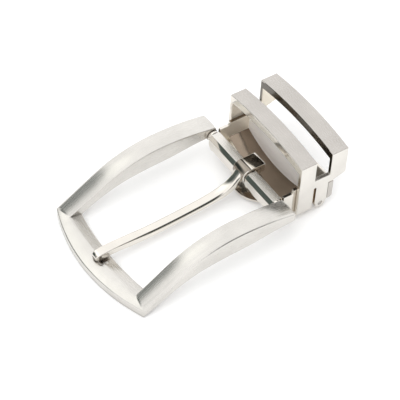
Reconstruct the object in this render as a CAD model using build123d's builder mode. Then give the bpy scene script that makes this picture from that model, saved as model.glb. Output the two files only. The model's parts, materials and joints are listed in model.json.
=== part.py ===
from build123d import *
import os
from math import cos, radians, sin

os.makedirs("parts", exist_ok=True)

# Placement: the buckle lies on the floor, front bar down, clamp nose up
datum_x = 23.13          # the clamp ring's front face, measured from the middle of the buckle
clamp_pitch = 4.0086     # degrees that the clamp's nose is raised
clamp_lift = 2.105       # height of the clamp's own zero level under the ring's front face
clamp_along = (cos(radians(clamp_pitch)), 0, -sin(radians(clamp_pitch)))
clamp_up = (sin(radians(clamp_pitch)), 0, cos(radians(clamp_pitch)))
clamp_zero = (datum_x, 0, clamp_lift)

# Working planes: a side view, an end view and a plan view
frame_side = Plane(origin=(datum_x, 0, 0), x_dir=(1, 0, 0), z_dir=(0, -1, 0))
frame_plan = Plane(origin=(datum_x, 0, 0), x_dir=(1, 0, 0), z_dir=(0, 0, 1))
clamp_side = Plane(origin=clamp_zero, x_dir=clamp_along, z_dir=(0, -1, 0))
clamp_end = Plane(origin=clamp_zero, x_dir=(0, 1, 0), z_dir=clamp_along)
clamp_plan = Plane(origin=clamp_zero, x_dir=clamp_along, z_dir=clamp_up)

# Hinge shared by the frame and the prong, in the clamp's side view
hinge_x = -6.9
hinge_z = 6.9
hinge_pin_radius = 0.75
hinge_bore_radius = 0.80
hinge_pin_start = 14.3
hinge_pin_end = 20.8

# Frame
frame_half_width = 25.0
frame_inner_half = 18.3
frame_rear_inner_half = 17.92
frame_rear_x = -4.8
front_bow_x = -65.4      # middle of the bowed front edge
front_bow_depth = 5.2
front_corner_x = -60.3   # corners of the bowed front edge
arm_front_x = -60.6
front_edge_height = 2.8
ridge_height = 3.6
seat_length = 6.0        # shallow notch across the ridge for the prong's tip
seat_width = 4.3
seat_floor = 2.45
seat_across = -0.6
seat_x = -58.6
boss_radius = 2.1
boss_end = 21.6

# Prong
eye_radius = 2.7
eye_bore_radius = 1.55
eye_half_width = 2.9
shank_half_width = 1.9
tip_half_width = 1.35
tip_x = -62.3
heel_rear_x = -1.1
heel_bottom_z = 6.2

# Crossbar
bar_half_length = 16.75
bar_journal_radius = 1.5
bar_journal_half = 3.1
bar_top = 8.52
bar_bottom = 2.6
bar_rear_x = -4.9

# Clamp housing: front ring, rear loop and the ledges between them
ring_half_width = 19.2
ring_inner_half = 17.8
ring_depth = 5.86
ring_top = 20.23
ring_arch = 1.7
ring_inner_top = 17.4
loop_front_x = 11.61
loop_rear_x = 17.70
loop_top = 20.96
loop_inner_top = 18.15
ledge_bottom = 8.9
ledge_top = 12.3
lug_front_x = 6.76
lug_rear_x = 11.40
lug_bottom = 1.3

# Cradle
flange_inner_half = 16.7
flange_outer_half = 17.75
flange_top = 10.5
cradle_front_x = -1.0
cradle_wall_x = 6.6
cradle_rear_x = 7.4
cheek_inner_half = 15.75
cheek_outer_half = 16.8
web_front_x = -4.7       # web between the hinge and the ring, in line with the flange
web_top = 9.2
nose_radius = 9.5

# Strap cover and jaw
cover_rear_x = 12.4
cover_bottom = 9.7
cover_top = 10.5
jaw_pin_x = 9.0
jaw_pin_z = 0.9
jaw_pin_radius = 0.70
jaw_bore_radius = 0.75
lug_knuckle_radius = 1.9
jaw_knuckle_radius = 1.45
jaw_rear_x = 13.4
jaw_plate_bottom = 1.6
jaw_plate_top = 3.2
jaw_half_width = 17.6
jaw_ear_inner = 16.5
pad_front_x = 11.55
tooth_pitch = 2.0
tooth_count = 16
tooth_tip = 4.8

# Frame: arched arms, bowed front bar, rear bosses
with BuildPart() as buckle_frame:
    with BuildSketch(frame_side) as arm_profile:
        with BuildLine():
            Polyline((arm_front_x, 2.9), (arm_front_x, 0), (-60.5, 0), (-47.3, 5.6))
            Spline((-47.3, 5.6), (-40, 7.5), (-31, 8.1), (-22, 8.1), (-12.5, 8.7), (frame_rear_x, 8.8))
            Line((frame_rear_x, 8.8), (frame_rear_x, 11.8))
            Spline((frame_rear_x, 11.8), (-12.6, 13.6), (-20, 14.6), (-28, 14.95), (-35, 14.2), (-43.5, 11.9))
            Line((-43.5, 11.9), (arm_front_x, 2.9))
        make_face()
    extrude(amount=frame_half_width + 0.2, both=True)
    with BuildSketch(frame_plan.offset(-1)) as frame_window:
        with BuildLine():
            Polyline((-66, 18.9), (-46, frame_inner_half), (-20, frame_inner_half),
                     (frame_rear_x + 1, frame_rear_inner_half), (frame_rear_x + 1, -frame_rear_inner_half),
                     (-20, -frame_inner_half), (-46, -frame_inner_half), (-66, -18.9), (-66, 18.9))
        make_face()
    extrude(amount=20, mode=Mode.SUBTRACT)
    for share in (-1.0, -0.5, 0.0, 0.5, 1.0):
        bow = front_bow_depth * share ** 2
        with BuildSketch(frame_side.offset(-25.2 * share)) as bar_section:
            with BuildLine():
                Polyline((front_bow_x + bow, 0), (-57.2 + bow * 0.6, 0), (-56.2 + bow * 0.6, 1.9),
                         (-60.3 + bow * 0.3, ridge_height), (front_bow_x + bow, front_edge_height),
                         (front_bow_x + bow, 0))
            make_face()
    loft()
    with BuildSketch(frame_plan.offset(-1)) as frame_outline:
        with BuildLine():
            Polyline((-66, 24.8), (front_corner_x, 24.83), (frame_rear_x, 25.15), (frame_rear_x, -25.15),
                     (front_corner_x, -24.83), (-66, -24.8), (-66, 24.8))
        make_face()
    extrude(amount=20, mode=Mode.INTERSECT)
    for side in (-1, 1):
        with BuildPart(mode=Mode.SUBTRACT) as corner_relief:
            with BuildSketch(frame_plan.offset(-1)) as relief_outline:
                with BuildLine():
                    Polyline((-60.5, 25.3 * side), (-54.6, 18.35 * side), (-46, 18.35 * side),
                             (-46, 25.3 * side), (-60.5, 25.3 * side))
                make_face()
            extrude(amount=10)
            with BuildSketch(frame_side) as relief_profile:
                with BuildLine():
                    Polyline((-60.5, 0), (-47.3, 5.6), (-45, 5.6), (-45, -1.5), (-60.5, -1.5), (-60.5, 0))
                make_face()
            extrude(amount=frame_half_width + 1, both=True, mode=Mode.INTERSECT)
    with Locations((datum_x + seat_x, seat_across, seat_floor + 2)):
        Box(seat_length, seat_width, 4, mode=Mode.SUBTRACT)
    with BuildSketch(clamp_side.offset(frame_rear_inner_half)) as boss_right:
        with Locations((hinge_x, hinge_z)):
            Circle(boss_radius)
    extrude(amount=boss_end - frame_rear_inner_half)
    with BuildSketch(clamp_side.offset(-frame_rear_inner_half)) as boss_left:
        with Locations((hinge_x, hinge_z)):
            Circle(boss_radius)
    extrude(amount=frame_rear_inner_half - boss_end)
    with BuildSketch(clamp_side) as boss_bore:
        with Locations((hinge_x, hinge_z)):
            Circle(hinge_bore_radius)
    extrude(amount=hinge_pin_end + 0.2, both=True, mode=Mode.SUBTRACT)
buckle_frame.part.label = "buckle_frame"
export_step(buckle_frame.part, "parts/buckle_frame.step")

# Prong: cranked shank, round eye, square heel
with BuildPart() as prong:
    with BuildSketch(frame_side) as shank_profile:
        with BuildLine():
            Spline((-8.6, 6.9), (-11.0, 5.4), (-14.8, 3.9), (-24, 3.2), (-34, 2.8), (-45, 2.9), (-54, 3.6),
                   (-59, 3.78), (tip_x, 3.9))
            Line((tip_x, 3.9), (tip_x, 5.4))
            Spline((tip_x, 5.4), (-59.5, 6.25), (-52, 6.0), (-40.7, 5.2), (-30, 5.1), (-20, 5.4), (-14.5, 6.4),
                   (-10.8, 8.6), (-7.9, 11.7))
            Line((-7.9, 11.7), (-8.6, 6.9))
        make_face()
    extrude(amount=shank_half_width, both=True)
    with BuildSketch(frame_plan) as shank_outline:
        with BuildLine():
            Polyline((-6, -shank_half_width), (-6, shank_half_width), (-40, shank_half_width),
                     (tip_x + tip_half_width, tip_half_width))
            ThreePointArc((tip_x + tip_half_width, tip_half_width), (tip_x, 0),
                          (tip_x + tip_half_width, -tip_half_width))
            Polyline((tip_x + tip_half_width, -tip_half_width), (-40, -shank_half_width),
                     (-6, -shank_half_width))
        make_face()
    extrude(amount=20, mode=Mode.INTERSECT)
    with BuildSketch(clamp_side) as eye_profile:
        with Locations((hinge_x, hinge_z)):
            Circle(eye_radius)
    extrude(amount=eye_half_width, both=True)
    with BuildSketch(clamp_side) as heel_profile:
        with BuildLine():
            Polyline((hinge_x + 0.4, hinge_z + eye_radius - 0.03), (heel_rear_x, hinge_z + eye_radius - 0.03),
                     (heel_rear_x, heel_bottom_z), (hinge_x + 2.2, heel_bottom_z - 0.4),
                     (hinge_x + 0.4, hinge_z + eye_radius - 0.03))
        make_face()
    extrude(amount=eye_half_width, both=True)
    with BuildSketch(clamp_side) as eye_bore:
        with Locations((hinge_x, hinge_z)):
            Circle(eye_bore_radius)
    extrude(amount=eye_half_width + 1, both=True, mode=Mode.SUBTRACT)
prong.part.label = "prong"
export_step(prong.part, "parts/prong.step")

# Crossbar: flat-topped bar with a turned journal in the middle
with BuildPart() as crossbar:
    with BuildSketch(clamp_side) as bar_profile:
        with BuildLine():
            Polyline((-8.0, bar_top), (bar_rear_x - 0.2, bar_top), (bar_rear_x, bar_top - 0.2),
                     (bar_rear_x, 3.6), (bar_rear_x - 0.8, bar_bottom), (-8.3, bar_bottom),
                     (-8.9, 4.6), (-9.05, 7.2), (-8.0, bar_top))
        make_face()
    extrude(amount=bar_half_length, both=True)
    with BuildSketch(clamp_side) as journal_gap:
        with Locations((hinge_x, hinge_z - 2)):
            Rectangle(12, 12)
    extrude(amount=bar_journal_half, both=True, mode=Mode.SUBTRACT)
    with BuildSketch(clamp_side) as journal:
        with Locations((hinge_x, hinge_z)):
            Circle(bar_journal_radius)
    extrude(amount=bar_journal_half + 0.5, both=True)
    with BuildSketch(clamp_side.offset(hinge_pin_start)) as bar_bore_right:
        with Locations((hinge_x, hinge_z)):
            Circle(hinge_pin_radius)
    extrude(amount=5, mode=Mode.SUBTRACT)
    with BuildSketch(clamp_side.offset(-hinge_pin_start)) as bar_bore_left:
        with Locations((hinge_x, hinge_z)):
            Circle(hinge_pin_radius)
    extrude(amount=-5, mode=Mode.SUBTRACT)
crossbar.part.label = "crossbar"
export_step(crossbar.part, "parts/crossbar.step")

# Hinge pins
with BuildPart() as hinge_pin_right:
    with BuildSketch(clamp_side.offset(hinge_pin_start)) as pin_right_face:
        with Locations((hinge_x, hinge_z)):
            Circle(hinge_pin_radius)
    extrude(amount=hinge_pin_end - hinge_pin_start)
hinge_pin_right.part.label = "hinge_pin_right"
export_step(hinge_pin_right.part, "parts/hinge_pin_right.step")

with BuildPart() as hinge_pin_left:
    with BuildSketch(clamp_side.offset(-hinge_pin_start)) as pin_left_face:
        with Locations((hinge_x, hinge_z)):
            Circle(hinge_pin_radius)
    extrude(amount=hinge_pin_start - hinge_pin_end)
hinge_pin_left.part.label = "hinge_pin_left"
export_step(hinge_pin_left.part, "parts/hinge_pin_left.step")

# Washers between the cheeks and the frame's bosses
washer_radius = 1.9
with BuildPart() as washer_right:
    with BuildSketch(clamp_side.offset(cheek_outer_half)) as washer_right_face:
        with Locations((hinge_x, hinge_z)):
            Circle(washer_radius)
            Circle(hinge_pin_radius, mode=Mode.SUBTRACT)
    extrude(amount=1.0)
washer_right.part.label = "washer_right"
export_step(washer_right.part, "parts/washer_right.step")

with BuildPart() as washer_left:
    with BuildSketch(clamp_side.offset(-cheek_outer_half)) as washer_left_face:
        with Locations((hinge_x, hinge_z)):
            Circle(washer_radius)
            Circle(hinge_pin_radius, mode=Mode.SUBTRACT)
    extrude(amount=-1.0)
washer_left.part.label = "washer_left"
export_step(washer_left.part, "parts/washer_left.step")

# Housing: front ring, rear loop, ledges and the lugs that carry the jaw
with BuildPart() as keeper_housing:
    with BuildSketch(clamp_end) as ring_face:
        with BuildLine():
            Polyline((-ring_half_width, ring_top), (-ring_half_width, 0), (ring_half_width, 0),
                     (ring_half_width, ring_top))
            ThreePointArc((ring_half_width, ring_top), (0, ring_top + ring_arch), (-ring_half_width, ring_top))
        make_face()
        with BuildLine():
            Polyline((-ring_inner_half, ring_inner_top), (-ring_inner_half, -1), (ring_inner_half, -1),
                     (ring_inner_half, ring_inner_top))
            ThreePointArc((ring_inner_half, ring_inner_top), (0, ring_inner_top + ring_arch),
                          (-ring_inner_half, ring_inner_top))
        make_face(mode=Mode.SUBTRACT)
    extrude(amount=ring_depth)
    with BuildSketch(clamp_end.offset(loop_front_x)) as loop_face:
        with BuildLine():
            Polyline((-ring_half_width, loop_top), (-ring_half_width, ledge_bottom),
                     (ring_half_width, ledge_bottom), (ring_half_width, loop_top))
            ThreePointArc((ring_half_width, loop_top), (0, loop_top + ring_arch), (-ring_half_width, loop_top))
        make_face()
        with BuildLine():
            Polyline((-ring_inner_half, loop_inner_top), (-ring_inner_half, 0), (ring_inner_half, 0),
                     (ring_inner_half, loop_inner_top))
            ThreePointArc((ring_inner_half, loop_inner_top), (0, loop_inner_top + ring_arch),
                          (-ring_inner_half, loop_inner_top))
        make_face(mode=Mode.SUBTRACT)
    extrude(amount=loop_rear_x - loop_front_x)
    for side_start in (ring_inner_half, -ring_half_width):
        with BuildSketch(clamp_side.offset(side_start)) as ledge_profile:
            with BuildLine():
                Polyline((ring_depth - 1, ledge_bottom), (ring_depth - 1, ledge_top),
                         (loop_front_x + 1, ledge_top), (loop_front_x + 1, ledge_bottom),
                         (lug_rear_x, ledge_bottom), (lug_rear_x, lug_bottom), (lug_front_x, lug_bottom),
                         (lug_front_x, ledge_bottom), (ring_depth - 1, ledge_bottom))
            make_face()
            with Locations((jaw_pin_x, jaw_pin_z)):
                Circle(lug_knuckle_radius)
        extrude(amount=ring_half_width - ring_inner_half)
    with BuildSketch(clamp_side) as leg_cut:
        with BuildLine():
            Polyline((loop_front_x + 1, ledge_bottom - 1), (loop_front_x + 1, ledge_bottom),
                     (loop_rear_x + 1, ledge_bottom + 2), (loop_rear_x + 1, ledge_bottom - 1),
                     (loop_front_x + 1, ledge_bottom - 1))
        make_face()
    extrude(amount=ring_half_width + 1, both=True, mode=Mode.SUBTRACT)
    with BuildSketch(clamp_side) as lug_bore:
        with Locations((jaw_pin_x, jaw_pin_z)):
            Circle(jaw_bore_radius)
    extrude(amount=ring_half_width + 1, both=True, mode=Mode.SUBTRACT)
keeper_housing.part.label = "keeper_housing"
export_step(keeper_housing.part, "parts/keeper_housing.step")

# Cradle: dished tray, side flanges, rear wall, cheeks and rounded nose
floor_edge = 4.1
floor_middle = 0.2
belly_edge = 0.5
belly_middle = -1.7
with BuildPart() as cradle:
    with BuildSketch(clamp_end.offset(cradle_front_x)) as tray_face:
        with BuildLine():
            Polyline((-flange_inner_half, floor_edge), (-flange_inner_half, flange_top),
                     (-flange_outer_half, flange_top), (-flange_outer_half, belly_edge))
            ThreePointArc((-flange_outer_half, belly_edge), (0, belly_middle), (flange_outer_half, belly_edge))
            Polyline((flange_outer_half, belly_edge), (flange_outer_half, flange_top),
                     (flange_inner_half, flange_top), (flange_inner_half, floor_edge))
            ThreePointArc((flange_inner_half, floor_edge), (0, floor_middle), (-flange_inner_half, floor_edge))
        make_face()
    extrude(amount=cradle_wall_x - cradle_front_x)
    with BuildSketch(clamp_end.offset(cradle_wall_x)) as wall_face:
        with BuildLine():
            Polyline((-flange_outer_half, belly_edge), (-flange_outer_half, flange_top),
                     (flange_outer_half, flange_top), (flange_outer_half, belly_edge))
            ThreePointArc((flange_outer_half, belly_edge), (0, belly_middle), (-flange_outer_half, belly_edge))
        make_face()
    extrude(amount=cradle_rear_x - cradle_wall_x)
    for cheek_start in (cheek_inner_half, -cheek_outer_half):
        with BuildSketch(clamp_side.offset(cheek_start)) as cheek_profile:
            with BuildLine():
                Polyline((0, 0.5), (-5.2, 0.4), (-8.2, 2.2), (-8.2, bar_bottom), (bar_rear_x - 0.8, bar_bottom),
                         (0, bar_bottom), (0, 0.5))
            make_face()
        extrude(amount=cheek_outer_half - cheek_inner_half)
    for web_start in (cheek_outer_half - 0.1, -flange_outer_half):
        with BuildSketch(clamp_side.offset(web_start)) as web_profile:
            with BuildLine():
                Polyline((0, 1.2), (web_front_x, 0.9), (web_front_x, web_top), (0, web_top), (0, 1.2))
            make_face()
        extrude(amount=flange_outer_half - cheek_outer_half + 0.1)
    with BuildSketch(clamp_plan.offset(-1.5)) as nose_outline:
        Circle(nose_radius)
        with Locations((nose_radius, 0)):
            Rectangle(2 * nose_radius, 2 * nose_radius, mode=Mode.SUBTRACT)
    extrude(amount=0.7)
    with BuildSketch(clamp_side) as belly_relief:
        with BuildLine():
            Polyline((5.6, belly_middle), (cradle_rear_x + 1, belly_middle + 0.7),
                     (cradle_rear_x + 1, belly_middle - 1), (5.6, belly_middle - 1), (5.6, belly_middle))
        make_face()
    extrude(amount=ring_half_width, both=True, mode=Mode.SUBTRACT)
    with BuildSketch(clamp_side) as cheek_bore:
        with Locations((hinge_x, hinge_z)):
            Circle(hinge_pin_radius)
    extrude(amount=ring_half_width, both=True, mode=Mode.SUBTRACT)
cradle.part.label = "cradle"
export_step(cradle.part, "parts/cradle.step")

# Strap cover: plate over the strap slot
with BuildPart() as strap_cover:
    with BuildSketch(clamp_plan.offset(cover_bottom)) as cover_outline:
        with Locations(((cradle_rear_x + cover_rear_x) / 2, 0)):
            Rectangle(cover_rear_x - cradle_rear_x, 2 * flange_outer_half)
    extrude(amount=cover_top - cover_bottom)
strap_cover.part.label = "strap_cover"
export_step(strap_cover.part, "parts/strap_cover.step")

# Jaw: plate under the strap with knuckles and ears that turn on the jaw pins
with BuildPart() as clamp_jaw:
    with BuildSketch(clamp_side) as plate_profile:
        with Locations((jaw_pin_x, jaw_pin_z)):
            Circle(jaw_knuckle_radius)
        with BuildLine():
            Polyline((jaw_pin_x - 1, jaw_pin_z + 0.5), (jaw_pin_x, jaw_plate_top), (jaw_rear_x, jaw_plate_top),
                     (jaw_rear_x, jaw_plate_bottom), (jaw_pin_x + 1.2, jaw_pin_z - 0.7),
                     (jaw_pin_x - 1, jaw_pin_z + 0.5))
        make_face()
    extrude(amount=jaw_half_width, both=True)
    for ear_start in (jaw_ear_inner, -jaw_half_width):
        with BuildSketch(clamp_side.offset(ear_start)) as ear_profile:
            with BuildLine():
                Polyline((jaw_pin_x, 2.5), (11.6, 8.6), (jaw_rear_x, 8.6), (jaw_rear_x, 2.0),
                         (jaw_pin_x, 1.6), (jaw_pin_x, 2.5))
            make_face()
        extrude(amount=jaw_half_width - jaw_ear_inner)
    for pad_start in (jaw_half_width - 0.1, -ring_half_width + 0.1):
        with BuildSketch(clamp_side.offset(pad_start)) as pad_profile:
            with BuildLine():
                Polyline((pad_front_x, 8.6), (jaw_rear_x, 8.6), (jaw_rear_x, 2.2), (12.6, jaw_plate_bottom),
                         (pad_front_x, jaw_plate_bottom), (pad_front_x, 8.6))
            make_face()
        extrude(amount=ring_half_width - jaw_half_width)
    with BuildSketch(clamp_side.offset(jaw_ear_inner)) as ear_bore_right:
        with Locations((jaw_pin_x, jaw_pin_z)):
            Circle(jaw_pin_radius)
    extrude(amount=5, mode=Mode.SUBTRACT)
    with BuildSketch(clamp_side.offset(-jaw_ear_inner)) as ear_bore_left:
        with Locations((jaw_pin_x, jaw_pin_z)):
            Circle(jaw_pin_radius)
    extrude(amount=-5, mode=Mode.SUBTRACT)
clamp_jaw.part.label = "clamp_jaw"
export_step(clamp_jaw.part, "parts/clamp_jaw.step")

# Tooth strip: a row of pointed teeth on the jaw
with BuildPart() as tooth_strip:
    with BuildSketch(clamp_end.offset(11.6)) as tooth_row:
        with Locations((0, jaw_plate_top + 0.2)):
            Rectangle(tooth_pitch * tooth_count, 0.4)
        with Locations((0, jaw_plate_top + 0.4)):
            with GridLocations(tooth_pitch, 0, tooth_count, 1):
                Polygon((-tooth_pitch / 2, -0.1), (tooth_pitch / 2, -0.1), (0, tooth_tip - jaw_plate_top - 0.4),
                        align=None)
    extrude(amount=1.4)
tooth_strip.part.label = "tooth_strip"
export_step(tooth_strip.part, "parts/tooth_strip.step")

# Jaw pins
with BuildPart() as jaw_pin_right:
    with BuildSketch(clamp_side.offset(jaw_ear_inner)) as jaw_pin_right_face:
        with Locations((jaw_pin_x, jaw_pin_z)):
            Circle(jaw_pin_radius)
    extrude(amount=ring_half_width - 0.2 - jaw_ear_inner)
jaw_pin_right.part.label = "jaw_pin_right"
export_step(jaw_pin_right.part, "parts/jaw_pin_right.step")

with BuildPart() as jaw_pin_left:
    with BuildSketch(clamp_side.offset(-jaw_ear_inner)) as jaw_pin_left_face:
        with Locations((jaw_pin_x, jaw_pin_z)):
            Circle(jaw_pin_radius)
    extrude(amount=jaw_ear_inner - ring_half_width + 0.2)
jaw_pin_left.part.label = "jaw_pin_left"
export_step(jaw_pin_left.part, "parts/jaw_pin_left.step")
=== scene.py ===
import json
import math

import bmesh
import bpy
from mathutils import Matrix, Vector

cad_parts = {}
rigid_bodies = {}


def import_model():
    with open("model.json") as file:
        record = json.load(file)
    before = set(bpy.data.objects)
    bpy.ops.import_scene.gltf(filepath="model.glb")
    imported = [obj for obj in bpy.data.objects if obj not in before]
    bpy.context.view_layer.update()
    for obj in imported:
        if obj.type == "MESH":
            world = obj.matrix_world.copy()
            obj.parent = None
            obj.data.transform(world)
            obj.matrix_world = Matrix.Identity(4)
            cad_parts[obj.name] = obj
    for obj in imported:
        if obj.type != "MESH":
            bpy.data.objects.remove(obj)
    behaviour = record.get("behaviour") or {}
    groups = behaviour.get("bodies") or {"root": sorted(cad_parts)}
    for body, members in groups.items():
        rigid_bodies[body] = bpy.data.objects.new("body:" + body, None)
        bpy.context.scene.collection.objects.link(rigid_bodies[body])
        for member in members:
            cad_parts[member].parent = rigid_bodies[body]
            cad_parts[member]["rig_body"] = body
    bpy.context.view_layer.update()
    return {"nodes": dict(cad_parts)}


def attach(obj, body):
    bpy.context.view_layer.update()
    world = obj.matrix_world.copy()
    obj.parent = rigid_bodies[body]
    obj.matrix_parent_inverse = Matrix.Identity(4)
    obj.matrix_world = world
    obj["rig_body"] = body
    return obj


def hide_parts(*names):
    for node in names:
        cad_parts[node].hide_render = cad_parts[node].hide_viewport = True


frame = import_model()
nodes = frame["nodes"]

# Sizes are in millimetres and angles in degrees, except where MM or math.radians has turned them
# into Blender's metres and radians.
MM = 0.001
WELD = 0.003 * MM
SHARP_ANGLE = 32

# The buckle frame's own axes start DATUM_X along X. The clamp's start at CLAMP_ZERO, pitched.
DATUM_X = 23.13
PITCH = math.radians(4.0086)
CLAMP_ZERO = Vector((DATUM_X, 0, 2.105))
CLAMP_ALONG = Vector((math.cos(PITCH), 0, -math.sin(PITCH)))
CLAMP_UP = Vector((math.sin(PITCH), 0, math.cos(PITCH)))
ACROSS = Vector((0, 1, 0))
UP = Vector((0, 0, 1))
# The row that the frame and the prong turn about, in the clamp's axes.
HINGE_X, HINGE_Z = -6.9, 6.9
# How squarely a face must look one way, as a cosine.
LOOSELY, CLEARLY, WELL, FULLY = 0.5, 0.6, 0.7, 0.95


def clamp_point(x, y, z):
    return CLAMP_ZERO + CLAMP_ALONG * x + ACROSS * y + CLAMP_UP * z


def frame_point(x, y, z):
    return Vector((x + DATUM_X, y, z))


# ---------------------------------------------------------------- materials
NOISE_LOW, NOISE_HIGH = 0.3, 0.7
GRAIN_DETAIL, GRAIN_ROUGHNESS = 5.0, 0.65
CLOUD_SCALE, CLOUD_DETAIL = 140.0, 3.0
# Painted shade in deep corners: ambient-occlusion samples, the occlusion at which the shade is full
# and at which it is gone, and its tint.
PAINTED_SHADE_SAMPLES = 8
PAINTED_SHADE_AO_DARK, PAINTED_SHADE_AO_CLEAR = 0.15, 0.75
PAINTED_SHADE_TINT = (1.0, 0.88, 0.76)
ROUGH_LOW, ROUGH_HIGH = 0.85, 1.2
GRAIN_HEIGHT = 0.02 * MM


def new_material(name, metallic):
    mat = bpy.data.materials.new(name)
    mat.use_nodes = True
    tree = mat.node_tree
    tree.nodes.clear()
    out = tree.nodes.new("ShaderNodeOutputMaterial")
    bsdf = tree.nodes.new("ShaderNodeBsdfPrincipled")
    tree.links.new(bsdf.outputs["BSDF"], out.inputs["Surface"])
    bsdf.inputs["Metallic"].default_value = metallic
    return mat, tree, bsdf


def nickel(name, colour, rough, grain, grain_depth, tone=0.05, painted_shade=0.0, reach=6.0,
           use_uv=False, metallic=1.0):
    """Plated metal: fine grain, soft clouding and, with a shade amount above 0, painted shade in
    its deep corners.
    """
    mat, tree, bsdf = new_material(name, metallic)
    add, link = tree.nodes.new, tree.links.new
    place = add("ShaderNodeTexCoord")
    lines_map = add("ShaderNodeMapping")
    lines_map.inputs["Scale"].default_value = grain
    link(place.outputs["UV" if use_uv else "Object"], lines_map.inputs["Vector"])
    lines = add("ShaderNodeTexNoise")
    lines.inputs["Scale"].default_value = 1.0
    lines.inputs["Detail"].default_value = GRAIN_DETAIL
    lines.inputs["Roughness"].default_value = GRAIN_ROUGHNESS
    link(lines_map.outputs["Vector"], lines.inputs["Vector"])
    clouds = add("ShaderNodeTexNoise")
    clouds.inputs["Scale"].default_value = CLOUD_SCALE
    clouds.inputs["Detail"].default_value = CLOUD_DETAIL
    link(place.outputs["Object"], clouds.inputs["Vector"])

    shade = add("ShaderNodeValToRGB")
    darker = [c * (1 - tone) for c in colour]
    lighter = [min(1.0, c * (1 + tone)) for c in colour]
    first, last = shade.color_ramp.elements
    first.position, last.position = NOISE_LOW, NOISE_HIGH
    first.color, last.color = (*darker, 1), (*lighter, 1)
    link(clouds.outputs["Fac"], shade.inputs["Fac"])
    colour_out = shade.outputs["Color"]
    # Painted shade: the colour darkens where ambient occlusion finds the surface hemmed in within
    # reach.
    if painted_shade > 0:
        shade_ao = add("ShaderNodeAmbientOcclusion")
        shade_ao.samples = PAINTED_SHADE_SAMPLES
        shade_ao.inputs["Distance"].default_value = reach * MM
        unshaded_part = add("ShaderNodeMapRange")
        unshaded_part.inputs["From Min"].default_value = PAINTED_SHADE_AO_DARK
        unshaded_part.inputs["From Max"].default_value = PAINTED_SHADE_AO_CLEAR
        link(shade_ao.outputs["AO"], unshaded_part.inputs["Value"])
        painted_shade_colour = [c * (1 - painted_shade) * t for c, t in zip(colour, PAINTED_SHADE_TINT)]
        shade_mix = add("ShaderNodeMix")
        shade_mix.data_type = "RGBA"
        shade_mix.inputs["A"].default_value = (*painted_shade_colour, 1)
        link(unshaded_part.outputs["Result"], shade_mix.inputs["Factor"])
        link(colour_out, shade_mix.inputs["B"])
        colour_out = shade_mix.outputs["Result"]
    link(colour_out, bsdf.inputs["Base Color"])

    spread = add("ShaderNodeMapRange")
    spread.inputs["From Min"].default_value = NOISE_LOW
    spread.inputs["From Max"].default_value = NOISE_HIGH
    spread.inputs["To Min"].default_value = rough * ROUGH_LOW
    spread.inputs["To Max"].default_value = rough * ROUGH_HIGH
    link(lines.outputs["Fac"], spread.inputs["Value"])
    link(spread.outputs["Result"], bsdf.inputs["Roughness"])

    bump = add("ShaderNodeBump")
    bump.inputs["Strength"].default_value = grain_depth
    bump.inputs["Distance"].default_value = GRAIN_HEIGHT
    link(lines.outputs["Fac"], bump.inputs["Height"])
    link(bump.outputs["Normal"], bsdf.inputs["Normal"])
    return mat


# Grain lines: how many noise cells there are in a metre, along each axis.
SWEPT = (160, 7000, 1)
CROSSWISE = (7000, 160, 7000)
LENGTHWISE = (200, 2500, 2500)
TURNED = (3000, 300, 3000)
EVEN = (900, 900, 900)
COARSE = (700, 700, 700)
COARSEST = (500, 500, 500)

SATIN = (0.64, 0.62, 0.587)
# A darker copy of the satin nickel: painted shade on the housing's tops and on the clamp jaw.
SATIN_TOP_PAINTED_SHADE = (0.50, 0.475, 0.447)
# A lighter copy of the satin nickel: painted light on the housing's outer sides and on the
# crossbar's flat top.
SATIN_SIDE_PAINTED_LIGHT = (0.70, 0.675, 0.635)
# A near-white, mostly diffuse copy of the satin nickel: painted light on the tray's rear wall.
SATIN_WALL_PAINTED_LIGHT = (0.97, 0.93, 0.90)
BRIGHT = (0.74, 0.705, 0.65)
# A cream copy of the bright nickel: painted light on the tray's side faces and on the housing's
# inner sides.
FLANGE_PAINTED_LIGHT = (0.93, 0.86, 0.74)
# A dark copy of the bright nickel: painted dark reflection on the eye's outside.
EYE_PAINTED_DARK = (0.30, 0.265, 0.225)
# A dark brown copy of the bright nickel: painted shade and dark reflection on the tray's floor.
TRAY_PAINTED_DARK = (0.27, 0.215, 0.165)
# A near-black copy of the nickel: painted shade and dark reflection under the loops' bars and on
# the rear loop's front face.
INSIDE_PAINTED_DARK = (0.13, 0.12, 0.105)
STEEL = (0.45, 0.43, 0.40)

satin_sweep = nickel("satin_nickel_sweep", SATIN, 0.25, SWEPT, 0.35,
                     painted_shade=0.8, reach=2.5, use_uv=True)
satin_painted_shade = nickel("satin_nickel_painted_shade", SATIN_TOP_PAINTED_SHADE, 0.25, CROSSWISE, 0.3)
satin_plate_painted_light = nickel("satin_nickel_side_painted_light", SATIN_SIDE_PAINTED_LIGHT, 0.25, CROSSWISE, 0.25)
satin_wall_painted_light = nickel("satin_nickel_wall_painted_light", SATIN_WALL_PAINTED_LIGHT, 0.5, CROSSWISE, 0.3, metallic=0.25)
flange_painted_light = nickel("bright_nickel_flange_painted_light", FLANGE_PAINTED_LIGHT, 0.32, EVEN, 0.06, 0.04, metallic=0.65)
bright = nickel("bright_nickel", BRIGHT, 0.08, COARSE, 0.05, 0.03, painted_shade=0.5, reach=3.0)
bright_side = nickel("bright_nickel_side", BRIGHT, 0.13, EVEN, 0.08, 0.03,
                     painted_shade=0.25, reach=3.0)
bright_prong = nickel("bright_nickel_prong", BRIGHT, 0.09, LENGTHWISE, 0.08, 0.03,
                      painted_shade=0.5, reach=3.0)
eye_painted_dark = nickel("bright_nickel_eye_painted_dark", EYE_PAINTED_DARK, 0.11, EVEN, 0.08, 0.05)
tray = nickel("bright_nickel_tray_painted_dark", TRAY_PAINTED_DARK, 0.10, COARSEST, 0.06, 0.08, painted_shade=0.5, reach=5.0)
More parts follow.
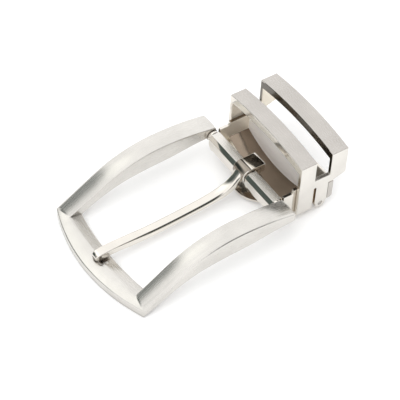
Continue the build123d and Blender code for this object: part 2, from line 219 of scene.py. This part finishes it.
inside_painted_dark = nickel("nickel_inside_painted_dark", INSIDE_PAINTED_DARK, 0.16, EVEN, 0.1, 0.1)
steel = nickel("turned_steel", STEEL, 0.25, TURNED, 0.4)


# ---------------------------------------------------------------- mesh helpers
def make_piece(name, mesh, body, node, materials):
    piece = bpy.data.objects.new(name, mesh)
    bpy.context.scene.collection.objects.link(piece)
    for material in materials:
        mesh.materials.append(material)
    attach(piece, body)
    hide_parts(node)
    return piece


def smooth_shaded(mesh, angle=SHARP_ANGLE):
    mesh.polygons.foreach_set("use_smooth", [True] * len(mesh.polygons))
    mesh.set_sharp_from_angle(angle=math.radians(angle))


SAME_POINT = 0.002 * MM
FLAT_ANGLE = math.radians(0.4)
BEVEL_ANGLE = math.radians(28)


def rounded_copy(node, width):
    """A copy of a CAD node with its triangles merged and its sharp edges rounded."""
    bm = bmesh.new()
    bm.from_mesh(nodes[node].data)
    bmesh.ops.remove_doubles(bm, verts=bm.verts, dist=SAME_POINT)
    bmesh.ops.dissolve_degenerate(bm, dist=SAME_POINT / 2, edges=bm.edges)
    bmesh.ops.dissolve_limit(bm, angle_limit=FLAT_ANGLE, verts=bm.verts, edges=bm.edges)
    sharp = [edge for edge in bm.edges
             if len(edge.link_faces) == 2 and edge.calc_face_angle(0) > BEVEL_ANGLE]
    bmesh.ops.bevel(bm, geom=sharp, offset=width * MM, offset_type="OFFSET", segments=3,
                    profile=0.5, affect="EDGES", clamp_overlap=False)
    bmesh.ops.recalc_face_normals(bm, faces=bm.faces)
    mesh = bpy.data.meshes.new(node + "_finished")
    bm.to_mesh(mesh)
    bm.free()
    smooth_shaded(mesh)
    return mesh


def curve_at(points, x):
    """Height at x of a smooth curve through points, which are in order of x."""
    if x <= points[0][0]:
        return points[0][1]
    if x >= points[-1][0]:
        return points[-1][1]
    i = next(k for k in range(len(points) - 1) if points[k + 1][0] >= x)
    (x0, y0), (x1, y1) = points[i], points[i + 1]
    h = x1 - x0
    slope = (y1 - y0) / h
    before = (y0 - points[i - 1][1]) / (x0 - points[i - 1][0]) if i > 0 else slope
    after = (points[i + 2][1] - y1) / (points[i + 2][0] - x1) if i + 2 < len(points) else slope
    m0, m1 = (before + slope) / 2, (slope + after) / 2
    t = (x - x0) / h
    return ((2 * t ** 3 - 3 * t ** 2 + 1) * y0 + (t ** 3 - 2 * t ** 2 + t) * h * m0
            + (3 * t ** 2 - 2 * t ** 3) * y1 + (t ** 3 - t ** 2) * h * m1)


MOST_OF_SIDE = 0.45


def rounded_ring(corners, cuts, fill, steps=5, lift=None):
    """A closed ring of points round the corners.

    Each corner is rounded over its cut: one length, or a pair for the sides before and after it.
    The side after corner i has fill[i] points between its ends, and lift[i] is the bulge at its
    middle, or None.
    """
    count = len(corners)
    starts, ends, arcs = [], [], []
    for i, corner in enumerate(corners):
        before, after = corners[i - 1] - corner, corners[(i + 1) % count] - corner
        cut_in, cut_out = cuts[i] if isinstance(cuts[i], tuple) else (cuts[i], cuts[i])
        a = corner + before.normalized() * min(cut_in, before.length * MOST_OF_SIDE)
        b = corner + after.normalized() * min(cut_out, after.length * MOST_OF_SIDE)
        arcs.append([a * (1 - t) ** 2 + corner * 2 * t * (1 - t) + b * t ** 2
                     for t in [k / steps for k in range(steps + 1)]])
        starts.append(a)
        ends.append(b)
    ring = []
    for i in range(count):
        ring += arcs[i]
        a, b = ends[i], starts[(i + 1) % count]
        for k in range(1, fill[i] + 1):
            t = k / (fill[i] + 1)
            point = a.lerp(b, t)
            if lift and lift[i]:
                point = point + lift[i] * (4 * t * (1 - t))
            ring.append(point)
    return ring


def skin(name, rings, smooth_angle=SHARP_ANGLE):
    """A closed mesh over rings of points, with flat ends, and UVs in metres along and around."""
    bm = bmesh.new()
    uv = bm.loops.layers.uv.new("UVMap")
    rows = [[bm.verts.new(p * MM) for p in ring] for ring in rings]
    around = [0.0]
    middle = rings[len(rings) // 2]
    n = len(middle)
    for k in range(n):
        around.append(around[-1] + (middle[(k + 1) % n] - middle[k]).length * MM)
    along = [0.0]
    for i in range(1, len(rings)):
        a = sum(rings[i - 1], Vector()) / n
        b = sum(rings[i], Vector()) / n
        along.append(along[-1] + (b - a).length * MM)
    for i in range(len(rows) - 1):
        for k in range(n):
            j = (k + 1) % n
            face = bm.faces.new((rows[i][k], rows[i][j], rows[i + 1][j], rows[i + 1][k]))
            for loop, value in zip(face.loops, ((i, k), (i, k + 1), (i + 1, k + 1), (i + 1, k))):
                loop[uv].uv = (along[value[0]], around[value[1]])
    bm.faces.new(rows[0])
    bm.faces.new(list(reversed(rows[-1])))
    bmesh.ops.recalc_face_normals(bm, faces=bm.faces)
    mesh = bpy.data.meshes.new(name)
    bm.to_mesh(mesh)
    bm.free()
    smooth_shaded(mesh, smooth_angle)
    return mesh


def lathe(name, centre, axis, profile, segments=48):
    """A closed turned solid. profile is (distance along the axis, radius), end to end."""
    other = axis.cross(UP)
    rings = []
    for along, radius in profile:
        rings.append([centre + axis * along + (UP * math.cos(a) + other * math.sin(a)) * radius
                      for a in [2 * math.pi * k / segments for k in range(segments)]])
    return skin(name, rings)


def boolean(mesh, other, operation, name):
    """The exact union or difference of two closed meshes, as a new mesh with near points welded."""
    base = bpy.data.objects.new(name + "_base", mesh)
    tool = bpy.data.objects.new(name + "_tool", other)
    for obj in (base, tool):
        bpy.context.scene.collection.objects.link(obj)
    step = base.modifiers.new("join", "BOOLEAN")
    step.operation, step.solver, step.object = operation, "EXACT", tool
    bpy.context.view_layer.update()
    finished = base.evaluated_get(bpy.context.evaluated_depsgraph_get())
    result = bpy.data.meshes.new_from_object(finished)
    result.name = name
    for obj in (base, tool):
        bpy.data.objects.remove(obj)
    bm = bmesh.new()
    bm.from_mesh(result)
    bmesh.ops.remove_doubles(bm, verts=bm.verts, dist=WELD)
    bmesh.ops.dissolve_degenerate(bm, dist=WELD / 2, edges=bm.edges)
    bm.to_mesh(result)
    bm.free()
    return result


# ---------------------------------------------------------------- buckle frame
# An arm along X, as (x, value): the heights of its top and bottom, and the y of its inner side.
ARM_TOP = [(-60.6, 2.9), (-56, 5.32), (-51, 7.95), (-46.5, 10.3), (-43.5, 11.7), (-40, 12.95),
           (-35, 14.2), (-28, 14.95), (-20, 14.6), (-12.6, 13.6), (-4.8, 11.8)]
ARM_BOTTOM = [(-60.5, 0.0), (-54, 2.75), (-47.3, 5.6), (-40, 7.5), (-31, 8.1), (-22, 8.1),
              (-12.5, 8.7), (-4.8, 8.8)]
ARM_INNER = [(-60, 18.65), (-54, 18.45), (-46, 18.3), (-33, 18.25), (-20, 18.2), (-4.8, 17.92)]
# X of a section's five corners where an arm meets the bar. The order is outer bottom, outer top,
# inner top, top of the inner chamfer, inner bottom.
MITRE_X = [-60.3, -60.3, -59.35, -54.6, -55.3]
CORNERS = len(MITRE_X)
FRAME_FILL = [2, 14, 9, 0, 3]
ARM_CUTS = [0.45, (0.9, 1.5), (0.45, 0.4), 0.0, 0.45]
BAR_CUTS = [0.35, (0.4, 0.5), (0.4, 0.4), 0.5, 0.3]
ARM_LIFT = [None, UP * 0.22, None, None, None]
BAR_LIFT = [None, UP * 0.10, None, None, None]

# The arms' outer faces widen evenly from the bar to the rear.
BAR_ENDS = 24.83
ARM_FLARE = 0.32
ARM_START_X = -60.3
ARM_LENGTH = 55.5

# The chamfer at an arm's inner bottom edge grows from next to nothing at the bar.
CHAMFER_START_X = MITRE_X[3]
CHAMFER_LEAST, CHAMFER_MOST, CHAMFER_GROWTH = 0.08, 1.2, 0.25

# The mitre opens out over ARM_BLEND until the arm's sections stand square at SQUARE_X.
ARM_BLEND = [0.02, 0.06, 0.12, 0.2, 0.3, 0.42, 0.56, 0.7, 0.85, 1.0]
SQUARE_X = -50.5
ARM_STEP = 0.75
ARM_LAST_X = -5.2
# X and inset of the last three sections, which round the arm's rear end.
ARM_TAIL = [(-5.1, 0.0), (-4.9, 0.08), (-4.8, 0.28)]

# The bar's five corners, in the order of MITRE_X: y at the end, x at the middle, share of the
# bow, x added at the end, z at the middle, z added at the end.
BAR_CORNERS = [
    (BAR_ENDS, -65.4, 1.0, 0.03, 0, 0),
    (BAR_ENDS, -65.4, 1.0, 0.03, 2.8, 0.2),
    (18.65, -60.3, 0.3, 0, 3.6, 0),
    (18.5, -56.2, 0.52, 0, 1.9, 0.6),
    (18.5, -57.2, 0.6, 0, 0, 0),
]
BAR_BOW, BAR_BOW_SPAN = 5.2, 25.2
# The bar's sections are BAR_STEP apart over BAR_EVEN_SHARE of it, closer at the seat's edges, and
# then stand at BAR_END_SHARES.
BAR_STEP, BAR_FINE_STEP = 0.8, 0.13
BAR_EVEN_SHARE = 0.97
BAR_END_SHARES = (1.0, 0.988, 0.976)

SEAT_X, SEAT_Y = -58.6, -0.6
SEAT_HALF_LENGTH, SEAT_HALF_WIDTH = 3.1, 2.15
SEAT_FLOOR, SEAT_WALL = 2.45, 1.1
SEAT_LOWEST_Z, SEAT_REACH = 1.0, 1.3
SEAT_EDGE_Y, SEAT_EDGE_BAND = 2.2, 0.4


def outer_y(x):
    return BAR_ENDS + ARM_FLARE * (x - ARM_START_X) / ARM_LENGTH


def arm_ring(side, spots, shrink=0.0):
    """A section of an arm, drawn in by shrink. spots gives the x of its five corners."""
    xa, xb, xc, xm, xd = spots
    chamfer = CHAMFER_LEAST + (xm - CHAMFER_START_X) * CHAMFER_GROWTH
    chamfer = max(CHAMFER_LEAST, min(CHAMFER_MOST, chamfer))

    def outer(x, z):
        return frame_point(x, side * (outer_y(x) - shrink), z)

    def inner(x, z):
        return frame_point(x, side * (curve_at(ARM_INNER, x) + shrink), z)

    corners = [
        outer(xa, curve_at(ARM_BOTTOM, xa) + shrink),
        outer(xb, curve_at(ARM_TOP, xb) - shrink),
        inner(xc, curve_at(ARM_TOP, xc) - shrink),
        inner(xm, curve_at(ARM_BOTTOM, xm) + chamfer + shrink),
        inner(xd, curve_at(ARM_BOTTOM, xd) + shrink),
    ]
    return rounded_ring(corners, ARM_CUTS, FRAME_FILL, lift=ARM_LIFT)


def bar_ring(v):
    """A section of the bar, v of the way from its middle to its right (-1) or left (1) end."""
    end_part = v ** 6
    corners = []
    for y_end, x, bow_share, x_more, z, z_more in BAR_CORNERS:
        y = y_end * v
        bow = BAR_BOW * (y / BAR_BOW_SPAN) ** 2
        corner_x = x + bow * bow_share + x_more * end_part
        corners.append(frame_point(corner_x, y, z + z_more * end_part))
    return rounded_ring(corners, BAR_CUTS, FRAME_FILL, lift=BAR_LIFT)


def seated(ring):
    """Presses the shallow seat for the prong's tip into a bar ring."""
    pressed = []
    for p in ring:
        dx = (p.x - DATUM_X - SEAT_X) / SEAT_HALF_LENGTH
        dy = (p.y - SEAT_Y) / SEAT_HALF_WIDTH
        height = SEAT_FLOOR + SEAT_WALL * (dx ** 8 + dy ** 8)
        near = p.z > SEAT_LOWEST_Z and abs(dy) < SEAT_REACH
        pressed.append(Vector((p.x, p.y, min(p.z, height))) if near else p)
    return pressed


def frame_rings():
    """Sections of the whole frame: up the left arm to the bar, along it, and down the right arm."""
    arm_spots = [[x0 + (SQUARE_X - x0) * s for x0 in MITRE_X] for s in ARM_BLEND]
    x = SQUARE_X + ARM_STEP
    while x < ARM_LAST_X:
        arm_spots.append([x] * CORNERS)
        x += ARM_STEP
    sections = [(spots, 0.0) for spots in arm_spots]
    sections += [([x] * CORNERS, inset) for x, inset in ARM_TAIL]
    left, right = [[arm_ring(side, spots, inset) for spots, inset in sections] for side in (1, -1)]

    bar_spots = [side * share for side in (-1, 1) for share in BAR_END_SHARES]
    y = -BAR_EVEN_SHARE * BAR_ENDS
    while y < BAR_ENDS * BAR_EVEN_SHARE:
        bar_spots.append(y / BAR_ENDS)
        at_seat_edge = abs(abs(y - SEAT_Y) - SEAT_EDGE_Y) < SEAT_EDGE_BAND
        y += BAR_FINE_STEP if at_seat_edge else BAR_STEP
    bar = [seated(bar_ring(v)) for v in sorted(bar_spots, reverse=True)]
    return list(reversed(left)) + bar + right


# Turned shapes, as (distance from the buckle's middle, radius).
BOSS = [(17.92, 1.85), (18.0, 2.02), (18.15, 2.1), (21.3, 2.1), (21.5, 2.02), (21.6, 1.85)]
BOSS_BORE = [(17.0, 0.8), (21.0, 0.8)]

frame_mesh = skin("buckle_frame_body", frame_rings())
hinge_row = clamp_point(HINGE_X, 0, HINGE_Z)
for side in (-1, 1):
    outward = ACROSS * side
    boss = lathe("boss", hinge_row, outward, BOSS)
    frame_mesh = boolean(frame_mesh, boss, "UNION", "buckle_frame_boss")
    bore = lathe("bore", hinge_row, outward, BOSS_BORE)
    frame_mesh = boolean(frame_mesh, bore, "DIFFERENCE", "buckle_frame_bored")
smooth_shaded(frame_mesh)
frame_mesh.name = "buckle_frame_finished"
make_piece("buckle_frame_finished", frame_mesh, "frame", "buckle_frame",
           [satin_sweep])

# ---------------------------------------------------------------- prong
# Each station along the shank: top x, top z, bottom x, bottom z, half width.
SHANK = [
    (-62.3, 4.80, -62.3, 4.50, 0.45), (-62.22, 5.18, -62.22, 4.18, 0.85),
    (-61.9, 5.58, -62.0, 4.0, 1.15), (-61.3, 5.92, -61.5, 3.92, 1.36),
    (-60.4, 6.14, -60.6, 3.85, 1.47), (-58.5, 6.24, -58.5, 3.76, 1.52),
    (-54.0, 6.12, -54.0, 3.6, 1.58), (-49.0, 5.78, -49.0, 3.15, 1.7),
    (-45.0, 5.48, -45.0, 2.9, 1.78), (-40.7, 5.2, -40.7, 2.82, 1.86),
    (-35.0, 5.08, -35.0, 2.82, 1.9), (-30.0, 5.1, -30.0, 2.95, 1.9),
    (-24.0, 5.2, -24.0, 3.2, 1.9), (-20.0, 5.42, -19.6, 3.42, 1.9),
    (-17.0, 5.82, -16.4, 3.68, 1.9), (-14.5, 6.45, -13.6, 4.2, 1.9),
    (-12.4, 7.4, -11.5, 5.1, 1.9), (-10.8, 8.6, -10.0, 6.05, 1.9),
    (-9.3, 10.2, -8.9, 7.05, 1.9), (-8.0, 11.3, -8.0, 8.2, 1.9),
]
SHANK_SECTIONS = 134
SHANK_CUTS = [0.4, 0.3, 0.3, 0.3, 0.3, 0.4]
SHANK_FILL = [3, 1, 4, 1, 3, 2]
SHANK_LIFT = [None, None, UP * 0.08, None, None, None]
SHANK_SHARP_ANGLE = 40
# The shank's top bevels, as a share of its half width: narrow at the tip, then widening.
BEVEL_TIP, BEVEL_GROWTH, BEVEL_START_X, BEVEL_SPAN = 0.10, 0.28, -57, 14
BEVEL_DEEPEST = 0.4
UNDERSIDE_SHARE = 0.97
TINY = 0.01

EYE_BARREL = [(-2.9, 2.35), (-2.86, 2.5), (-2.72, 2.64), (-2.5, 2.7),
              (2.5, 2.7), (2.72, 2.64), (2.86, 2.5), (2.9, 2.35)]
EYE_BORE = [(-3.5, 1.55), (3.5, 1.55)]
# How far from the hinge row a face can be and still be on the eye's outside, which carries a
# painted dark reflection.
EYE_INNER, EYE_OUTER = 2.6, 2.75

# The heel, in the clamp's axes: its top is HEEL_RISE over the hinge row.
HEEL_RISE = 2.67
HEEL_TOP_X, HEEL_LOW_X = HINGE_X + 0.4, HINGE_X + 2.2
HEEL_REAR_X = -1.1
HEEL_REAR_Z, HEEL_LOW_Z = 6.2, 5.8
HEEL_CUTS = [0.1, 0.35, 0.35, 0.3]
HEEL_FILL = [6, 3, 3, 3]
# Distance from the middle, and inset, of the heel's sections.
HEEL_SECTIONS = [(-2.88, 0.28), (-2.84, 0.14), (-2.73, 0.04), (-2.57, 0.0),
                 (2.57, 0.0), (2.73, 0.04), (2.84, 0.14), (2.88, 0.28)]


def station_at(t):
    """A shank station part-way between two of the listed ones: t runs from 0 to 1 over them all."""
    place = t * (len(SHANK) - 1)
    return [curve_at([(k, row[c]) for k, row in enumerate(SHANK)], place) for c in range(5)]


def shank_ring(values):
    top_x, top_z, low_x, low_z, half = values
    widening = min(1.0, max(0.0, (top_x - BEVEL_START_X) / BEVEL_SPAN))
    slant = half * (BEVEL_TIP + BEVEL_GROWTH * widening)
    drop = slant / max(top_z - low_z, TINY)
    top, low = frame_point(top_x, 0, top_z), frame_point(low_x, 0, low_z)
    shoulder = top.lerp(low, min(drop, BEVEL_DEEPEST))
    across = ACROSS * half
    crest = 1.0 - slant / max(half, TINY)
    corners = [low + across * UNDERSIDE_SHARE, shoulder + across, top + across * crest,
               top - across * crest, shoulder - across, low - across * UNDERSIDE_SHARE]
    return rounded_ring(corners, SHANK_CUTS, SHANK_FILL, steps=4, lift=SHANK_LIFT)


def heel_ring(y, shrink):
    top, rear = HINGE_Z + HEEL_RISE - shrink, HEEL_REAR_X - shrink
    corners = [clamp_point(HEEL_TOP_X, y, top), clamp_point(rear, y, top),
               clamp_point(rear, y, HEEL_REAR_Z + shrink),
               clamp_point(HEEL_LOW_X, y, HEEL_LOW_Z + shrink)]
    return rounded_ring(corners, HEEL_CUTS, HEEL_FILL)


shank_rings = [shank_ring(station_at(k / (SHANK_SECTIONS - 1))) for k in range(SHANK_SECTIONS)]
prong_mesh = skin("prong_shank", shank_rings, SHANK_SHARP_ANGLE)
barrel = lathe("prong_eye", hinge_row, ACROSS, EYE_BARREL, segments=72)
heel = skin("prong_heel", [heel_ring(y, inset) for y, inset in HEEL_SECTIONS])
eye_bore = lathe("prong_bore", hinge_row, ACROSS, EYE_BORE, segments=64)
prong_mesh = boolean(prong_mesh, barrel, "UNION", "prong_union")
prong_mesh = boolean(prong_mesh, heel, "UNION", "prong_union_heel")
prong_mesh = boolean(prong_mesh, eye_bore, "DIFFERENCE", "prong_bored")
smooth_shaded(prong_mesh)
# The eye's outside, index 1, carries a painted dark reflection.
for face in prong_mesh.polygons:
    spot = Vector(face.center) / MM - hinge_row
    spot.y = 0
    looks_out = face.normal.dot(spot.normalized()) > FULLY
    face.material_index = 1 if EYE_INNER < spot.length < EYE_OUTER and looks_out else 0
make_piece("prong_finished", prong_mesh, "prong", "prong",
           [bright_prong, eye_painted_dark])

# ---------------------------------------------------------------- the other nodes, rounded
# Node: its main material, its slot in the record, and the width of its edge rounding.
LOOK = {
    "crossbar": (bright, "bright_nickel", 0.06),
    "hinge_pin_left": (steel, "steel_pin", 0.1),
    "hinge_pin_right": (steel, "steel_pin", 0.1),
    "washer_left": (bright, "bright_nickel", 0.15),
    "washer_right": (bright, "bright_nickel", 0.15),
    "keeper_housing": (satin_painted_shade, "satin_nickel", 0.22),
    "cradle": (bright, "bright_nickel", 0.06),
    "strap_cover": (bright, "bright_nickel", 0.15),
    "clamp_jaw": (satin_painted_shade, "satin_nickel", 0.08),
    "tooth_strip": (steel, "steel_pin", 0.06),
    "jaw_pin_left": (steel, "steel_pin", 0.1),
    "jaw_pin_right": (steel, "steel_pin", 0.1),
}

# Places on the clamp, in its own axes.
TRAY_FRONT, TRAY_WALL, TRAY_REAR = -1.1, 6.4, 6.7
TRAY_HALF_WIDTH, TRAY_LOWEST = 16.8, -0.2
LOOPS_LOWEST, REAR_LOOP_FRONT = 15, 10
LOOP_INNER, POST_OUTER = 17.4, 18.5


def cradle_finish(along, across, height, normal):
    """0 outside the tray, 1 on its rear wall, 2 on its floor and 3 on its other faces."""
    # The rear wall, index 1, carries painted light.
    if normal.dot(CLAMP_ALONG) < -WELL and along > TRAY_WALL:
        return 1
    within = TRAY_FRONT < along < TRAY_REAR and abs(across) < TRAY_HALF_WIDTH
    if within and height > TRAY_LOWEST:
        # The floor, index 2, carries painted shade and dark reflection, and the other faces, index
        # 3, carry painted light.
        return 2 if normal.dot(CLAMP_UP) > LOOSELY else 3
    return 0


def housing_finish(along, across, height, normal):
    """0 on tops, 2 inside the loops, 3 on outer sides, 4 on inner sides and 1 on the rest."""
    in_loops = height > LOOPS_LOWEST
    # Index 2 carries painted shade and dark reflection.
    if in_loops and normal.dot(CLAMP_UP) < -CLEARLY:
        return 2
    in_rear_loop = in_loops and along > REAR_LOOP_FRONT and abs(across) < LOOP_INNER
    if in_rear_loop and normal.dot(CLAMP_ALONG) < -CLEARLY:
        return 2
    # Outer sides, index 3, take the lighter satin copy and inner sides, index 4, the cream copy:
    # both are painted light.
    if abs(normal.y) > LOOSELY:
        return 3 if abs(across) > POST_OUTER else 4
    # Tops, index 0, take the darker satin copy, which is painted shade.
    return 0 if normal.dot(CLAMP_UP) > LOOSELY else 1


def crossbar_finish(along, across, height, normal):
    """1 on the flat top and 0 elsewhere."""
    # The flat top is satin, in the lighter copy that carries painted light.
    return 1 if normal.dot(CLAMP_UP) > FULLY else 0


# Node: the function that chooses each face's material, and the materials after its main one.
FINISHES = {
    "cradle": (cradle_finish, [satin_wall_painted_light, tray, flange_painted_light]),
    "keeper_housing": (housing_finish, [bright_side, inside_painted_dark, satin_plate_painted_light, flange_painted_light]),
    "crossbar": (crossbar_finish, [satin_plate_painted_light]),
}
for name, (material, slot_name, width) in LOOK.items():
    mesh = rounded_copy(name, width)
    materials = [material]
    if name in FINISHES:
        choose, more = FINISHES[name]
        materials += more
        for face in mesh.polygons:
            spot = Vector(face.center) / MM - CLAMP_ZERO
            along, height = spot.dot(CLAMP_ALONG), spot.dot(CLAMP_UP)
            face.material_index = choose(along, spot.y, height, face.normal)
    body = nodes[name]["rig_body"]
    piece = make_piece(name + "_finished", mesh, body, name, materials)
    weighted = piece.modifiers.new("weighted_normals", "WEIGHTED_NORMAL")
    weighted.keep_sharp = True

# ---------------------------------------------------------------- floor
# Half the floor's width, in metres.
FLOOR_HALF = 3.0
FLOOR_GREY, FLOOR_ROUGHNESS = 0.9, 0.9
FLOOR_GLOW = 0.16

floor_mesh = bpy.data.meshes.new("floor")
signs = ((-1, -1), (1, -1), (1, 1), (-1, 1))
floor_corners = [(FLOOR_HALF * x, FLOOR_HALF * y, 0) for x, y in signs]
floor_mesh.from_pydata(floor_corners, [], [(0, 1, 2, 3)])
floor = bpy.data.objects.new("floor", floor_mesh)
bpy.context.scene.collection.objects.link(floor)
floor_mat = bpy.data.materials.new("floor_white")
floor_mat.use_nodes = True
floor_bsdf = floor_mat.node_tree.nodes["Principled BSDF"]
floor_bsdf.inputs["Base Color"].default_value = (FLOOR_GREY, FLOOR_GREY, FLOOR_GREY, 1)
floor_bsdf.inputs["Roughness"].default_value = FLOOR_ROUGHNESS
floor_bsdf.inputs["Emission Color"].default_value = (1, 1, 1, 1)
floor_bsdf.inputs["Emission Strength"].default_value = FLOOR_GLOW
floor_mesh.materials.append(floor_mat)

# ---------------------------------------------------------------- light
SKY_STRENGTH = 1.3
# Soft round patches of the sky: azimuth, elevation, inner and outer radius, colour. The first is
# a bright one, and the two dark ones give the polished metal its dark bands.
PATCHES = (
    (108, 54, 4, 21, (1.25, 1.26, 1.23)),
    (132, 22, 13, 34, (0.075, 0.092, 0.086)),
    (299, 40, 15, 24, (0.06, 0.065, 0.06)),
)
KEY_AZIMUTH, KEY_ELEVATION = 190, 62
# Distance and size of the key light in metres, and its power in watts.
KEY_DISTANCE, KEY_SIZE, KEY_POWER = 1.2, 0.9, 2.5


def direction(azimuth, elevation):
    a, e = math.radians(azimuth), math.radians(elevation)
    return Vector((math.cos(e) * math.cos(a), math.cos(e) * math.sin(a), math.sin(e)))


world = bpy.data.worlds.new("studio")
bpy.context.scene.world = world
world.use_nodes = True
sky_tree = world.node_tree
sky_tree.nodes.clear()
sky_out = sky_tree.nodes.new("ShaderNodeOutputWorld")
sky_light = sky_tree.nodes.new("ShaderNodeBackground")
sky_tree.links.new(sky_light.outputs[0], sky_out.inputs["Surface"])
sky_place = sky_tree.nodes.new("ShaderNodeTexCoord")


def sky_patch(azimuth, elevation, inner, outer):
    """1 inside a soft round patch of the sky, and 0 outside it."""
    dot = sky_tree.nodes.new("ShaderNodeVectorMath")
    dot.operation = "DOT_PRODUCT"
    dot.inputs[1].default_value = direction(azimuth, elevation)
    sky_tree.links.new(sky_place.outputs["Generated"], dot.inputs[0])
    fade = sky_tree.nodes.new("ShaderNodeMapRange")
    fade.interpolation_type = "SMOOTHSTEP"
    fade.inputs["From Min"].default_value = math.cos(math.radians(outer))
    fade.inputs["From Max"].default_value = math.cos(math.radians(inner))
    sky_tree.links.new(dot.outputs["Value"], fade.inputs["Value"])
    return fade.outputs["Result"]


tone = None
for azimuth, elevation, inner, outer, colour in PATCHES:
    mix = sky_tree.nodes.new("ShaderNodeMix")
    mix.data_type = "RGBA"
    sky_tree.links.new(sky_patch(azimuth, elevation, inner, outer), mix.inputs["Factor"])
    if tone:
        sky_tree.links.new(tone, mix.inputs["A"])
    else:
        mix.inputs["A"].default_value = (1, 1, 1, 1)
    mix.inputs["B"].default_value = (*colour, 1)
    tone = mix.outputs["Result"]
sky_tree.links.new(tone, sky_light.inputs["Color"])
sky_light.inputs["Strength"].default_value = SKY_STRENGTH

key = bpy.data.lights.new("key_soft_box", "AREA")
key.shape = "RECTANGLE"
key.size, key.size_y = KEY_SIZE, KEY_SIZE
key.energy = KEY_POWER
key_obj = bpy.data.objects.new("key_soft_box", key)
bpy.context.scene.collection.objects.link(key_obj)
key_side = direction(KEY_AZIMUTH, KEY_ELEVATION)
key_obj.location = key_side * KEY_DISTANCE
key_obj.rotation_mode = "QUATERNION"
key_obj.rotation_quaternion = key_side.to_track_quat("Z", "Y")
# Hidden from reflections, so that it leaves no hot spot on the polished metal.
key_obj.visible_glossy = False

# ---------------------------------------------------------------- camera
VIEW_AZIMUTH, VIEW_ELEVATION = 235.918, 49.279
VIEW_TARGET = Vector((-0.415, -0.557, 7.0)) * MM
# The camera's distance, and how near and far it sees, in metres.
VIEW_DISTANCE = 0.72738
CLIP_NEAR, CLIP_FAR = 0.05, 50
SENSOR_WIDTH, LENS = 36, 211.5

cam = bpy.data.cameras.new("camera")
cam_obj = bpy.data.objects.new("camera", cam)
bpy.context.scene.collection.objects.link(cam_obj)
bpy.context.scene.camera = cam_obj
cam.sensor_width = SENSOR_WIDTH
cam.lens = LENS
cam.clip_start, cam.clip_end = CLIP_NEAR, CLIP_FAR
back = direction(VIEW_AZIMUTH, VIEW_ELEVATION)
cam_obj.location = VIEW_TARGET + back * VIEW_DISTANCE
cam_obj.rotation_mode = "QUATERNION"
cam_obj.rotation_quaternion = back.to_track_quat("Z", "Y")
bpy.context.scene.view_settings.view_transform = "Standard"
